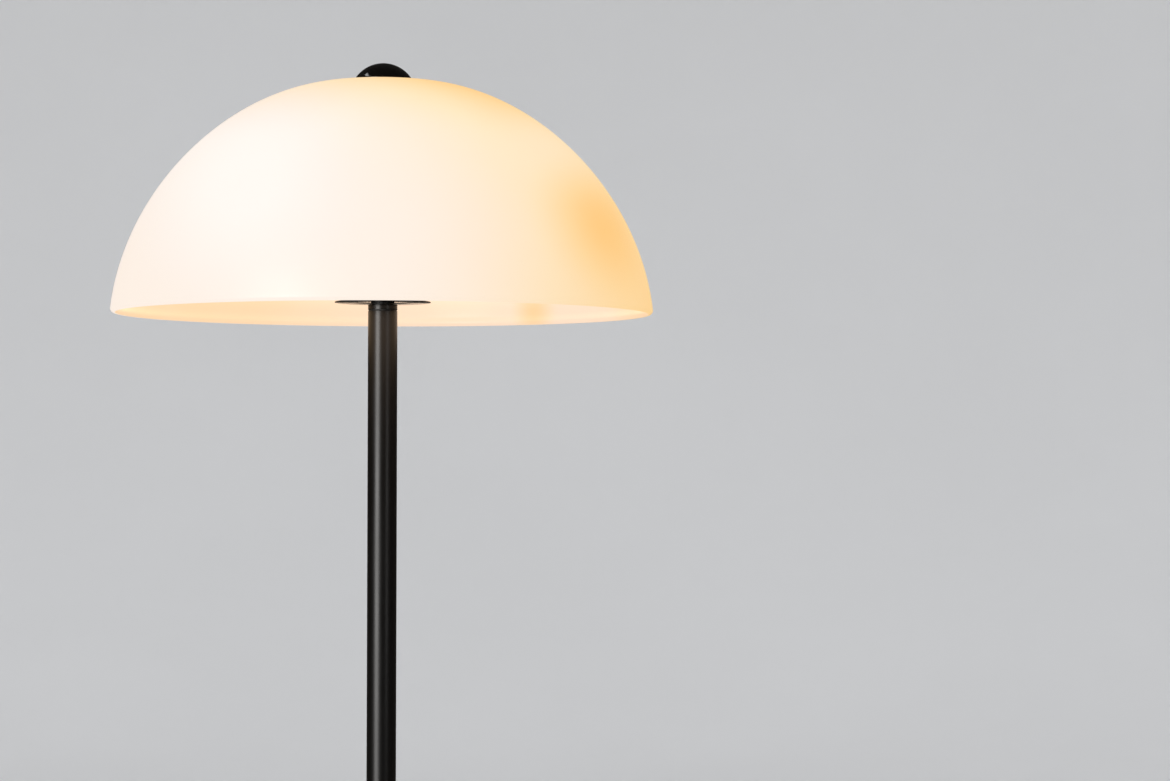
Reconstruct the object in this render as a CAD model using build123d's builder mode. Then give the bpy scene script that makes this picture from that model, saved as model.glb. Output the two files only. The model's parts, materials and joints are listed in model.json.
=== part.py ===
from build123d import *

import math
import os

# Mushroom floor lamp: a glass dome hung by its apex from a rod on a slim two-part pole.
# Millimetres, +Z up, origin on the floor under the middle of the base.
# The viewer stands at -Y, the bulb points towards -X and the mains lead enters at +Y.

# ---- Fits ------------------------------------------------------------------------------------
thread_gap = 0.10          # radial, between the plain cylinders that stand for a thread
press_gap = 0.03           # radial, plug in a tube
loose_gap = 0.40           # radial, a clearance hole round a threaded tube
rest_gap = 0.10            # between a piece that lifts off and its seat

# ---- Threaded tube used all through the lamp (M10 x 1) ---------------------------------------
tube_thread_radius = 5.0
tube_bore_radius = 3.5
thread_pitch = 1.0
thread_bore_radius = tube_thread_radius + thread_gap
clear_bore_radius = tube_thread_radius + loose_gap
small_nut_flats = 14.0
small_nut_height = 4.0

# ---- Base ------------------------------------------------------------------------------------
base_diameter = 300.0
base_height = 22.0
pad_thickness = 2.0
pad_inset = 7.0            # from the cover's edge to the pad's edge
cover_sheet = 1.2
cover_edge_radius = 5.0
weight_gap = 0.4           # radial, between the weight and the cover's skirt
recess_radius = 48.0
recess_web = 4.3           # iron left over the recess
channel_width = 13.0
clamp_washer_radius = 16.0
clamp_washer_thickness = 2.0

# ---- Mains lead inlet ------------------------------------------------------------------------
inlet_height = 9.2
inlet_bore_radius = 3.3
inlet_barrel_radius = 4.9
inlet_lip_radius = 5.9
inlet_lip_thickness = 1.5
inlet_flange_radius = 6.3
inlet_flange_thickness = 1.8
inlet_reach = 14.0         # how far the barrel runs in from the cover's outside
inlet_seat_gap = 0.3       # flat flange on a curved skirt

# ---- Terminal block in the base --------------------------------------------------------------
terminal_offset = 33.0     # from the lamp's axis to the block's middle, towards -X
terminal_length = 18.0
terminal_width = 18.0
terminal_height = 12.0
terminal_pitch = 8.6       # between the two ways
terminal_tube_radius = 2.4
terminal_tube_bore_radius = 1.45
terminal_screw_radius = 1.2
terminal_screw_spread = 9.0

# ---- Pole ------------------------------------------------------------------------------------
pole_radius = 12.5
pole_wall = 1.5
lower_pole_length = 634.0
upper_pole_length = 634.0
foot_insert_length = 30.0
nipple_engagement = 22.0
joint_socket_length = 32.0
joint_stud_length = 28.0
joint_stud_depth = 18.0
joint_stud_radius = 8.0
cable_bore_radius = 4.0
top_insert_length = 26.0
groove_height = 0.8
groove_depth = 0.5
collar_height = 4.7
collar_chamfer = 0.3

# ---- Head ------------------------------------------------------------------------------------
spacer_radius = 10.0
spacer_thickness = 1.5
disc_radius = 41.0
disc_thickness = 1.0
disc_edge_radius = 0.25
hub_radius = 14.0
hub_height = 34.0
hub_wall = 4.5
hub_thread_depth = 9.0
hub_edge_radius = 2.0
port_boss_radius = 9.0
port_reach = 22.0          # from the hub's middle to the face the lampholder sits on
rod_engagement = 8.5
rod_bore_radius = 2.9

# ---- Lampholder and bulb, measured along the holder's tilted axis ----------------------------
holder_tilt = 20.0         # degrees above the horizontal
holder_radius = 20.0
holder_wall = 1.7
holder_rim_wall = 4.0
cap_shoulder_length = 12.0
cap_length = 18.0
cap_spigot_length = 6.0
cap_thread_length = 8.0
cap_boss_wall = 3.4
insert_thickness = 8.0
shell_length = 42.0
screw_shell_radius = 13.75
screw_shell_wall = 0.4
screw_shell_recess = 1.0   # from the front shell's rim in to the sleeve's edge
screw_shell_flange_bore = 10.0
wire_hole_offset = 6.0     # from the holder's axis to each wire hole
wire_hole_radius = 1.4
holder_terminal_width = 6.5
holder_terminal_depth = 7.0
holder_terminal_height = 5.5
contact_strip_width = 6.0
contact_strip_thickness = 0.5
contact_rise = 3.0         # from the insert's face to the bulb's contact
contact_foot_end = 8.5     # the strip's places are counted sideways from the holder's axis
contact_foot_bend = 3.5
contact_tongue_bend = 1.5
contact_tongue_end = 3.0
contact_mitre = 0.25       # how far the outer corner of a bend lies past the inner one
bulb_seat_gap = 0.3

bulb_contact_radius = 4.6
bulb_contact_thickness = 1.5
bulb_insulator_height = 3.2
bulb_insulator_radius = 10.3
bulb_cap_radius = 13.0
bulb_cap_wall = 0.4
bulb_cap_length = 20.3
bulb_housing_neck_radius = 13.4
bulb_housing_wall = 1.6
bulb_housing_length = 34.7
bulb_spigot_setback = 2.0  # from the cap's shoulder to the housing's spigot
bulb_neck_length = 3.0
bulb_cavity_neck = 6.0     # how far the narrow part of the housing's hollow runs
bulb_flare_slope = 0.45    # of the housing's side at its rim, radius per length
bulb_globe_radius = 30.0
bulb_globe_wall = 1.0
bulb_globe_setback = 18.0  # from the housing's rim to the globe's centre
led_board_thickness = 1.6
led_board_radius = 19.0
led_count = 8
led_ring_radius = 13.0
led_size = 3.0
led_height = 0.8

# ---- Shade and what holds it -----------------------------------------------------------------
shade_radius = 230.2
shade_height = 198.5
shade_wall = 4.5
shade_seat_radius = 27.6   # flat seat at the apex
shade_crown_handle = 97.0  # how far the crown runs on towards the shoulder
shade_side_handle = 106.4  # how far the side runs up towards the shoulder
shade_side_draft = 6.6     # degrees off the vertical at the rim
shade_hole_radius = 6.5
shade_lip_radius = 3.4
shade_lip_blend = 6.0
disc_above_rim = 9.8       # from the rim's lowest point to the disc's underside
gasket_radius = 24.0
lower_gasket_thickness = 1.5
upper_gasket_thickness = 1.0
gasket_spigot_wall = 1.0
gasket_spigot_height = 3.5
support_plate_radius = 27.0
support_plate_thickness = 1.5
support_nut_flats = 17.0
support_nut_height = 6.0
rod_above_gasket = 9.0     # how far the rod's thread stands above the upper gasket
finial_height = 14.7
finial_ball_radius = 28.6
finial_edge = 0.8
finial_insert_radius = 8.0
finial_insert_height = 11.0
finial_roof = 0.5          # brass left over the thread's blind end

# ---- Wiring ----------------------------------------------------------------------------------
core_radius = 1.1
core_spacing = 1.25        # from the axis to each core
core_bend_radius = 4.0
core_exit_run = 3.0        # straight out of the terminal block
core_drop_run = 10.0       # sideways, while it drops to the pole's tube
core_clear_run = 2.0       # straight past a bore's mouth before it turns
holder_bend_radius = 6.0
sheath_radius = 3.1
sheath_bore_radius = 2.5

# ---- Heights and places worked out from the sizes above --------------------------------------
base_radius = base_diameter / 2
cover_inner_radius = base_radius - cover_sheet
weight_radius = cover_inner_radius - weight_gap
weight_top = base_height - cover_sheet
recess_ceiling = weight_top - recess_web
clamp_washer_bottom = recess_ceiling - clamp_washer_thickness
base_nut_bottom = clamp_washer_bottom - small_nut_height
base_nipple_bottom = base_nut_bottom - thread_pitch / 2

pole_bore_radius = pole_radius - pole_wall
plug_radius = pole_bore_radius - press_gap
pole_joint_height = base_height + lower_pole_length
pole_top = pole_joint_height + upper_pole_length
collar_bottom = pole_top + groove_height
collar_top = collar_bottom + collar_height
disc_bottom = collar_top + spacer_thickness
hub_bottom = disc_bottom + disc_thickness
hub_top = hub_bottom + hub_height
hub_middle = (hub_bottom + hub_top) / 2

rim_height = disc_bottom - disc_above_rim
shade_top = rim_height + shade_height
glass_seat = shade_top - shade_wall
lower_gasket_top = glass_seat - rest_gap
lower_gasket_bottom = lower_gasket_top - lower_gasket_thickness
support_plate_bottom = lower_gasket_bottom - support_plate_thickness
support_nut_bottom = support_plate_bottom - support_nut_height
upper_gasket_bottom = shade_top + rest_gap
upper_gasket_top = upper_gasket_bottom + upper_gasket_thickness
finial_bottom = upper_gasket_top + rest_gap
rod_top = upper_gasket_top + rod_above_gasket

# Stations along the lampholder's axis, counted from the hub's middle
cap_end = port_reach + cap_length
insert_back = cap_end + cap_spigot_length
insert_front = insert_back + insert_thickness
shell_end = cap_end + shell_length
bulb_contact_start = insert_front + contact_rise + bulb_seat_gap
bulb_insulator_start = bulb_contact_start + bulb_contact_thickness
bulb_cap_start = bulb_insulator_start + bulb_insulator_height
bulb_cap_end = bulb_cap_start + bulb_cap_length
bulb_housing_start = bulb_cap_end + bulb_seat_gap
bulb_housing_end = bulb_housing_start + bulb_housing_length
bulb_globe_centre = bulb_housing_end + bulb_globe_setback
bulb_housing_rim_radius = math.sqrt(bulb_globe_radius**2 - bulb_globe_setback**2)
wire_end = insert_back - holder_terminal_height / 2

# The holder's axis rises from the hub's middle towards -X
tilt = math.radians(holder_tilt)
hub_centre = Vector(0, 0, hub_middle)
holder_direction = Vector(-math.cos(tilt), 0, math.sin(tilt))
holder_axis = Axis(hub_centre, holder_direction)
# Section plane through that axis: local x is the radius, local y runs along the axis
holder_section = Plane(
    origin=hub_centre,
    x_dir=(math.sin(tilt), 0, math.cos(tilt)),
    z_dir=(0, -1, 0),
)


def holder_station(distance):
    """Plane square to the holder's axis: local x is +Y, local z points to the bulb."""
    return Plane(
        origin=hub_centre + holder_direction * distance,
        x_dir=(0, 1, 0),
        z_dir=holder_direction,
    )


def dome_curve(inset):
    """Control points of the dome's meridian, set in from the outside by a wall."""
    draft = math.radians(shade_side_draft)
    shrink = 1 - inset / shade_radius
    rim = rim_height + shade_lip_radius
    seat = shade_top - inset
    side = shade_side_handle * shrink
    rim_radius = shade_radius - inset
    return [
        (shade_seat_radius, seat),
        (shade_seat_radius + shade_crown_handle * shrink, seat),
        (rim_radius - side * math.sin(draft), rim + side * math.cos(draft)),
        (rim_radius, rim),
    ]


os.makedirs("parts", exist_ok=True)

# ======== Base ================================================================================

with BuildPart() as base_pad:
    with BuildSketch():
        Circle(base_radius - pad_inset)
    extrude(amount=pad_thickness)
base_pad.part.label = "base_pad"
export_step(base_pad.part, "parts/base_pad.step")

# Cast iron disc. Underneath: a round recess for nut and terminals, and a channel to the rear.
with BuildPart() as base_weight:
    with BuildSketch(Plane.XY.offset(pad_thickness)):
        Circle(weight_radius)
    extrude(amount=weight_top - pad_thickness)
    fillet(base_weight.faces().sort_by(Axis.Z)[-1].edges(), radius=cover_edge_radius)
    with BuildSketch(Plane.XY.offset(pad_thickness)):
        Circle(recess_radius)
        with Locations((0, weight_radius / 2)):
            Rectangle(channel_width, weight_radius)
        with Locations((0, weight_radius)):
            Rectangle(channel_width, 2 * weight_gap)
    extrude(amount=recess_ceiling - pad_thickness, mode=Mode.SUBTRACT)
    with Locations((0, 0, weight_top)):
        Hole(radius=clear_bore_radius)
base_weight.part.label = "base_weight"
export_step(base_weight.part, "parts/base_weight.step")

# Spun steel cover, open below, with the lead's hole in its rear
inlet_plane = Plane(origin=(0, 0, inlet_height), x_dir=(0, 1, 0), z_dir=(1, 0, 0))
with BuildPart() as base_cover:
    with BuildSketch(Plane.XY.offset(pad_thickness)):
        Circle(base_radius)
    extrude(amount=base_height - pad_thickness)
    fillet(base_cover.faces().sort_by(Axis.Z)[-1].edges(), radius=cover_edge_radius)
    offset(amount=-cover_sheet, openings=base_cover.faces().sort_by(Axis.Z)[0])
    with Locations((0, 0, base_height)):
        Hole(radius=clear_bore_radius)
    with BuildSketch(Plane(origin=(0, base_radius - inlet_reach, inlet_height), z_dir=(0, 1, 0))):
        Circle(inlet_barrel_radius + inlet_seat_gap)
    extrude(amount=2 * inlet_reach, mode=Mode.SUBTRACT)
base_cover.part.label = "base_cover"
export_step(base_cover.part, "parts/base_cover.step")

# Rubber bushing, turned about the lead's axis: barrel, inner lip, outer flange
lip_end = cover_inner_radius - inlet_seat_gap
flange_start = base_radius + inlet_seat_gap
with BuildPart() as cord_inlet_bushing:
    with BuildSketch(inlet_plane):
        with BuildLine():
            Polyline(
                (base_radius - inlet_reach, inlet_bore_radius),
                (base_radius - inlet_reach, inlet_barrel_radius),
                (lip_end - inlet_lip_thickness, inlet_barrel_radius),
                (lip_end - inlet_lip_thickness, inlet_lip_radius),
                (lip_end, inlet_lip_radius),
                (lip_end, inlet_barrel_radius),
                (flange_start, inlet_barrel_radius),
                (flange_start, inlet_flange_radius),
                (flange_start + inlet_flange_thickness, inlet_flange_radius),
                (flange_start + inlet_flange_thickness, inlet_bore_radius),
                close=True,
            )
        make_face()
    revolve(axis=Axis((0, 0, inlet_height), (0, 1, 0)))
cord_inlet_bushing.part.label = "cord_inlet_bushing"
export_step(cord_inlet_bushing.part, "parts/cord_inlet_bushing.step")

# Threaded tube that clamps the pole to the base
with BuildPart() as base_nipple:
    with BuildSketch(Plane.XY.offset(base_nipple_bottom)):
        Circle(tube_thread_radius)
        Circle(tube_bore_radius, mode=Mode.SUBTRACT)
    extrude(amount=base_height + nipple_engagement - base_nipple_bottom)
base_nipple.part.label = "base_nipple"
export_step(base_nipple.part, "parts/base_nipple.step")

with BuildPart() as base_clamp_washer:
    with BuildSketch(Plane.XY.offset(clamp_washer_bottom)):
        Circle(clamp_washer_radius)
        Circle(clear_bore_radius, mode=Mode.SUBTRACT)
    extrude(amount=clamp_washer_thickness)
base_clamp_washer.part.label = "base_clamp_washer"
export_step(base_clamp_washer.part, "parts/base_clamp_washer.step")

with BuildPart() as base_lock_nut:
    with BuildSketch(Plane.XY.offset(base_nut_bottom)):
        RegularPolygon(radius=small_nut_flats / 2, side_count=6, major_radius=False)
        Circle(thread_bore_radius, mode=Mode.SUBTRACT)
    extrude(amount=small_nut_height)
base_lock_nut.part.label = "base_lock_nut"
export_step(base_lock_nut.part, "parts/base_lock_nut.step")

# ======== Terminal block, under the recess's ceiling ==========================================

terminal_bottom = recess_ceiling - terminal_height
terminal_middle = recess_ceiling - terminal_height / 2
terminal_back = Plane(
    origin=(-terminal_offset - terminal_length / 2, 0, terminal_middle),
    x_dir=(0, 1, 0),
    z_dir=(1, 0, 0),
)
terminal_screw_grid = GridLocations(terminal_screw_spread, terminal_pitch, 2, 2)
terminal_floor = Plane(origin=(-terminal_offset, 0, terminal_bottom))

with BuildPart() as terminal_block:
    with BuildSketch(terminal_floor):
        Rectangle(terminal_length, terminal_width)
    extrude(amount=terminal_height)
    with BuildSketch(terminal_back):
        with GridLocations(terminal_pitch, 1, 2, 1):
            Circle(terminal_tube_radius + thread_gap)
    extrude(amount=terminal_length, mode=Mode.SUBTRACT)
    with BuildSketch(terminal_floor):
        with terminal_screw_grid:
            Circle(terminal_screw_radius + thread_gap)
    extrude(amount=terminal_height / 2, mode=Mode.SUBTRACT)
terminal_block.part.label = "terminal_block"
export_step(terminal_block.part, "parts/terminal_block.step")

with BuildPart() as terminal_tubes:
    with BuildSketch(terminal_back):
        with GridLocations(terminal_pitch, 1, 2, 1):
            Circle(terminal_tube_radius)
            Circle(terminal_tube_bore_radius, mode=Mode.SUBTRACT)
    extrude(amount=terminal_length)
    with BuildSketch(terminal_floor):
        with terminal_screw_grid:
            Circle(terminal_screw_radius + thread_gap)
    extrude(amount=terminal_height / 2, mode=Mode.SUBTRACT)
terminal_tubes.part.label = "terminal_tubes"
export_step(terminal_tubes.part, "parts/terminal_tubes.step")

with BuildPart() as terminal_screws:
    with BuildSketch(terminal_floor):
        with terminal_screw_grid:
            Circle(terminal_screw_radius)
    extrude(amount=terminal_height / 2 - core_radius - thread_gap)
terminal_screws.part.label = "terminal_screws"
export_step(terminal_screws.part, "parts/terminal_screws.step")

# ======== Pole ================================================================================

with BuildPart() as pole_foot_insert:
    with BuildSketch(Plane.XY.offset(base_height)):
        Circle(plug_radius)
        Circle(thread_bore_radius, mode=Mode.SUBTRACT)
    extrude(amount=foot_insert_length)
pole_foot_insert.part.label = "pole_foot_insert"
export_step(pole_foot_insert.part, "parts/pole_foot_insert.step")

with BuildPart() as pole_lower:
    with BuildSketch(Plane.XY.offset(base_height)):
        Circle(pole_radius)
        Circle(pole_bore_radius, mode=Mode.SUBTRACT)
    extrude(amount=lower_pole_length)
pole_lower.part.label = "pole_lower"
export_step(pole_lower.part, "parts/pole_lower.step")

with BuildPart() as pole_joint_socket:
    with BuildSketch(Plane.XY.offset(pole_joint_height - joint_socket_length)):
        Circle(plug_radius)
        Circle(cable_bore_radius, mode=Mode.SUBTRACT)
    extrude(amount=joint_socket_length)
    with Locations((0, 0, pole_joint_height)):
        Hole(radius=joint_stud_radius + thread_gap, depth=joint_stud_depth)
pole_joint_socket.part.label = "pole_joint_socket"
export_step(pole_joint_socket.part, "parts/pole_joint_socket.step")

with BuildPart() as pole_joint_stud:
    with BuildSketch(Plane.XY.offset(pole_joint_height)):
        Circle(plug_radius)
    extrude(amount=joint_stud_length)
    with BuildSketch(Plane.XY.offset(pole_joint_height)):
        Circle(joint_stud_radius)
    extrude(amount=-(joint_stud_depth - thread_pitch))
    with Locations((0, 0, pole_joint_height)):
        Hole(radius=cable_bore_radius)
pole_joint_stud.part.label = "pole_joint_stud"
export_step(pole_joint_stud.part, "parts/pole_joint_stud.step")

with BuildPart() as pole_upper:
    with BuildSketch(Plane.XY.offset(pole_joint_height)):
        Circle(pole_radius)
        Circle(pole_bore_radius, mode=Mode.SUBTRACT)
    extrude(amount=upper_pole_length)
pole_upper.part.label = "pole_upper"
export_step(pole_upper.part, "parts/pole_upper.step")

# Plug in the pole's top: its neck is the bottom of the fine groove under the collar
with BuildPart() as pole_top_insert:
    with BuildSketch(Plane.XY.offset(pole_top - top_insert_length)):
        Circle(plug_radius)
    extrude(amount=top_insert_length)
    with BuildSketch(Plane.XY.offset(pole_top)):
        Circle(pole_radius - groove_depth)
    extrude(amount=groove_height)
    with Locations((0, 0, pole_top)):
        Hole(radius=thread_bore_radius)
pole_top_insert.part.label = "pole_top_insert"
export_step(pole_top_insert.part, "parts/pole_top_insert.step")

with BuildPart() as pole_top_collar:
    with BuildSketch(Plane.XY.offset(collar_bottom)):
        Circle(pole_radius)
    extrude(amount=collar_height)
    chamfer(pole_top_collar.edges().filter_by(GeomType.CIRCLE), length=collar_chamfer)
    with Locations((0, 0, collar_top)):
        Hole(radius=clear_bore_radius)
pole_top_collar.part.label = "pole_top_collar"
export_step(pole_top_collar.part, "parts/pole_top_collar.step")

# ======== Head: what stands on the pole =======================================================

with BuildPart() as head_nipple:
    with BuildSketch(Plane.XY.offset(pole_top - top_insert_length / 2)):
        Circle(tube_thread_radius)
        Circle(tube_bore_radius, mode=Mode.SUBTRACT)
    extrude(amount=hub_bottom + hub_thread_depth - pole_top + top_insert_length / 2)
head_nipple.part.label = "head_nipple"
export_step(head_nipple.part, "parts/head_nipple.step")

with BuildPart() as disc_spacer:
    with BuildSketch(Plane.XY.offset(collar_top)):
        Circle(spacer_radius)
        Circle(clear_bore_radius, mode=Mode.SUBTRACT)
    extrude(amount=spacer_thickness)
disc_spacer.part.label = "disc_spacer"
export_step(disc_spacer.part, "parts/disc_spacer.step")

with BuildPart() as glare_disc:
    with BuildSketch(Plane.XY.offset(disc_bottom)):
        Circle(disc_radius)
    extrude(amount=disc_thickness)
    fillet(glare_disc.edges().filter_by(GeomType.CIRCLE), radius=disc_edge_radius)
    with Locations((0, 0, hub_bottom)):
        Hole(radius=clear_bore_radius)
glare_disc.part.label = "glare_disc"
export_step(glare_disc.part, "parts/glare_disc.step")

# Turned hub with a cavity for the wires, a thread at each end and a tilted side port
with BuildPart() as head_hub:
    with BuildSketch(Plane.XY.offset(hub_bottom)):
        Circle(hub_radius)
    extrude(amount=hub_height)
    fillet(head_hub.faces().sort_by(Axis.Z)[-1].edges(), radius=hub_edge_radius)
    with BuildSketch(holder_station(0)):
        Circle(port_boss_radius)
    extrude(amount=port_reach)
    with BuildSketch(Plane.XY.offset(hub_bottom + hub_thread_depth)):
        Circle(hub_radius - hub_wall)
    extrude(amount=hub_height - 2 * hub_thread_depth, mode=Mode.SUBTRACT)
    with Locations((0, 0, hub_top)):
        Hole(radius=thread_bore_radius)
    with BuildSketch(holder_station(0)):
        Circle(thread_bore_radius)
    extrude(amount=port_reach, mode=Mode.SUBTRACT)
head_hub.part.label = "head_hub"
export_step(head_hub.part, "parts/head_hub.step")

with BuildPart() as centre_rod:
    with BuildSketch(Plane.XY.offset(hub_top - rod_engagement)):
        Circle(tube_thread_radius)
        Circle(rod_bore_radius, mode=Mode.SUBTRACT)
    extrude(amount=rod_top - hub_top + rod_engagement)
centre_rod.part.label = "centre_rod"
export_step(centre_rod.part, "parts/centre_rod.step")

with BuildPart() as rod_lock_nut:
    with BuildSketch(Plane.XY.offset(hub_top)):
        RegularPolygon(radius=small_nut_flats / 2, side_count=6, major_radius=False)
        Circle(thread_bore_radius, mode=Mode.SUBTRACT)
    extrude(amount=small_nut_height)
rod_lock_nut.part.label = "rod_lock_nut"
export_step(rod_lock_nut.part, "parts/rod_lock_nut.step")

# ======== Lampholder, on the hub's tilted port ================================================

with BuildPart() as holder_nipple:
    with BuildSketch(holder_station(port_reach - cap_thread_length)):
        Circle(tube_thread_radius)
        Circle(tube_bore_radius, mode=Mode.SUBTRACT)
    extrude(amount=2 * cap_thread_length - thread_pitch)
holder_nipple.part.label = "holder_nipple"
export_step(holder_nipple.part, "parts/holder_nipple.step")

# Domed back shell with a threaded boss inside and a spigot for the front shell
spigot_radius = holder_radius - holder_wall
cap_boss_radius = thread_bore_radius + cap_boss_wall
with BuildPart() as holder_cap:
    with BuildSketch(holder_section):
        with BuildLine():
            back = Line((thread_bore_radius, port_reach), (port_boss_radius, port_reach))
            dome = TangentArc(
                back @ 1,
                (holder_radius, port_reach + cap_shoulder_length),
                tangent=back % 1,
            )
            Polyline(
                dome @ 1,
                (holder_radius, cap_end),
                (spigot_radius - thread_gap, cap_end),
                (spigot_radius - thread_gap, insert_back),
                (spigot_radius - 2 * holder_wall, insert_back),
                (spigot_radius - 2 * holder_wall, port_reach + cap_shoulder_length),
                (cap_boss_radius, port_reach + cap_thread_length),
                (thread_bore_radius, port_reach + cap_thread_length),
                (thread_bore_radius, port_reach),
            )
        make_face()
    revolve(axis=holder_axis)
holder_cap.part.label = "holder_cap"
export_step(holder_cap.part, "parts/holder_cap.step")

# Front shell: it screws over the cap's spigot and its inner step holds the insert
rim_bore_radius = holder_radius - holder_rim_wall
with BuildPart() as holder_shell:
    with BuildSketch(holder_section):
        with BuildLine():
            Polyline(
                (spigot_radius, cap_end),
                (holder_radius, cap_end),
                (holder_radius, shell_end - holder_wall),
                (holder_radius - holder_wall, shell_end),
                (rim_bore_radius, shell_end),
                (rim_bore_radius, insert_front),
                (spigot_radius, insert_front),
                close=True,
            )
        make_face()
    revolve(axis=holder_axis)
holder_shell.part.label = "holder_shell"
export_step(holder_shell.part, "parts/holder_shell.step")

with BuildPart() as holder_insert:
    with BuildSketch(holder_station(insert_back)):
        Circle(spigot_radius - thread_gap)
        with GridLocations(2 * wire_hole_offset, 1, 2, 1):
            Circle(wire_hole_radius, mode=Mode.SUBTRACT)
    extrude(amount=insert_thickness)
holder_insert.part.label = "holder_insert"
export_step(holder_insert.part, "parts/holder_insert.step")

# Two brass blocks on the insert's back, each with a hole for its core and one for its screw
terminal_station = holder_station(insert_back - holder_terminal_height)
screw_side = Plane(
    origin=holder_station(wire_end).origin,
    x_dir=(0, 1, 0),
    z_dir=holder_section.x_dir,
)
with BuildPart() as holder_terminals:
    with BuildSketch(terminal_station):
        with GridLocations(2 * wire_hole_offset, 1, 2, 1):
            Rectangle(holder_terminal_width, holder_terminal_depth)
            Circle(core_radius + thread_gap, mode=Mode.SUBTRACT)
    extrude(amount=holder_terminal_height)
    with BuildSketch(screw_side):
        with GridLocations(2 * wire_hole_offset, 1, 2, 1):
            Circle(terminal_screw_radius + thread_gap)
    extrude(amount=holder_terminal_depth, mode=Mode.SUBTRACT)
holder_terminals.part.label = "holder_terminals"
export_step(holder_terminals.part, "parts/holder_terminals.step")

with BuildPart() as holder_terminal_screws:
    with BuildSketch(screw_side.offset(core_radius + thread_gap)):
        with GridLocations(2 * wire_hole_offset, 1, 2, 1):
            Circle(terminal_screw_radius)
    extrude(amount=holder_terminal_depth / 2)
holder_terminal_screws.part.label = "holder_terminal_screws"
export_step(holder_terminal_screws.part, "parts/holder_terminal_screws.step")

# Brass sleeve that takes the bulb's thread
screw_shell_end = shell_end - screw_shell_recess
with BuildPart() as screw_shell:
    with BuildSketch(holder_section):
        with BuildLine():
            Polyline(
                (screw_shell_flange_bore, insert_front),
                (screw_shell_radius, insert_front),
                (screw_shell_radius, screw_shell_end),
                (screw_shell_radius - screw_shell_wall, screw_shell_end),
                (screw_shell_radius - screw_shell_wall, insert_front + screw_shell_wall),
                (screw_shell_flange_bore, insert_front + screw_shell_wall),
                close=True,
            )
        make_face()
    revolve(axis=holder_axis)
screw_shell.part.label = "screw_shell"
export_step(screw_shell.part, "parts/screw_shell.step")

# Sprung brass strip from one side of the insert's face to the bulb's middle contact
contact_section = Plane(origin=hub_centre, x_dir=(0, 1, 0), z_dir=holder_section.x_dir)
contact_top = insert_front + contact_rise
with BuildPart() as centre_contact:
    with BuildSketch(contact_section):
        with BuildLine():
            Polyline(
                (contact_foot_end, insert_front),
                (contact_foot_bend, insert_front),
                (contact_tongue_bend, contact_top - contact_strip_thickness),
                (-contact_tongue_end, contact_top - contact_strip_thickness),
                (-contact_tongue_end, contact_top),
                (contact_tongue_bend + contact_mitre, contact_top),
                (contact_foot_bend + contact_mitre, insert_front + contact_strip_thickness),
                (contact_foot_end, insert_front + contact_strip_thickness),
                close=True,
            )
        make_face()
    extrude(amount=contact_strip_width / 2, both=True)
centre_contact.part.label = "centre_contact"
export_step(centre_contact.part, "parts/centre_contact.step")

# ======== Bulb ================================================================================

with BuildPart() as bulb_centre_contact:
    with BuildSketch(holder_station(bulb_contact_start)):
        Circle(bulb_contact_radius)
    extrude(amount=bulb_contact_thickness)
bulb_centre_contact.part.label = "bulb_centre_contact"
export_step(bulb_centre_contact.part, "parts/bulb_centre_contact.step")

with BuildPart() as bulb_insulator:
    with BuildSketch(holder_section):
        with BuildLine():
            Polyline(
                (0, bulb_insulator_start),
                (bulb_contact_radius, bulb_insulator_start),
                (bulb_insulator_radius, bulb_cap_start),
                (0, bulb_cap_start),
                close=True,
            )
        make_face()
    revolve(axis=holder_axis)
bulb_insulator.part.label = "bulb_insulator"
export_step(bulb_insulator.part, "parts/bulb_insulator.step")

cap_shoulder = bulb_cap_start + (bulb_cap_radius - bulb_insulator_radius)
with BuildPart() as bulb_cap:
    with BuildSketch(holder_section):
        with BuildLine():
            Polyline(
                (0, bulb_cap_start),
                (bulb_insulator_radius, bulb_cap_start),
                (bulb_cap_radius, cap_shoulder),
                (bulb_cap_radius, bulb_cap_end),
                (bulb_cap_radius - bulb_cap_wall, bulb_cap_end),
                (bulb_cap_radius - bulb_cap_wall, cap_shoulder + bulb_cap_wall),
                (bulb_insulator_radius - bulb_cap_wall, bulb_cap_start + 2 * bulb_cap_wall),
                (0, bulb_cap_start + 2 * bulb_cap_wall),
                close=True,
            )
        make_face()
    revolve(axis=holder_axis)
bulb_cap.part.label = "bulb_cap"
export_step(bulb_cap.part, "parts/bulb_cap.step")

# Plastic body: a hollow spigot in the cap, a short neck and a flared cup for the board
housing_spigot_radius = bulb_cap_radius - bulb_cap_wall - thread_gap
housing_spigot_start = cap_shoulder + bulb_spigot_setback
housing_bore_radius = housing_spigot_radius - bulb_housing_wall
flare_start = bulb_housing_start + bulb_neck_length
cup_bottom = bulb_housing_end - led_board_thickness
with BuildPart() as bulb_housing:
    with BuildSketch(holder_section):
        with BuildLine():
            Polyline(
                (housing_bore_radius, housing_spigot_start),
                (housing_spigot_radius, housing_spigot_start),
                (housing_spigot_radius, bulb_housing_start),
                (bulb_housing_neck_radius, bulb_housing_start),
                (bulb_housing_neck_radius, flare_start),
            )
            Spline(
                (bulb_housing_neck_radius, flare_start),
                (bulb_housing_rim_radius, bulb_housing_end),
                tangents=[(0, 1), (bulb_flare_slope, 1)],
            )
            Polyline(
                (bulb_housing_rim_radius, bulb_housing_end),
                (led_board_radius + thread_gap, bulb_housing_end),
                (led_board_radius + thread_gap, cup_bottom),
                (led_board_radius - bulb_housing_wall, cup_bottom),
                (housing_bore_radius, bulb_housing_start + bulb_cavity_neck),
                (housing_bore_radius, housing_spigot_start),
            )
        make_face()
    revolve(axis=holder_axis)
bulb_housing.part.label = "bulb_housing"
export_step(bulb_housing.part, "parts/bulb_housing.step")

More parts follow.
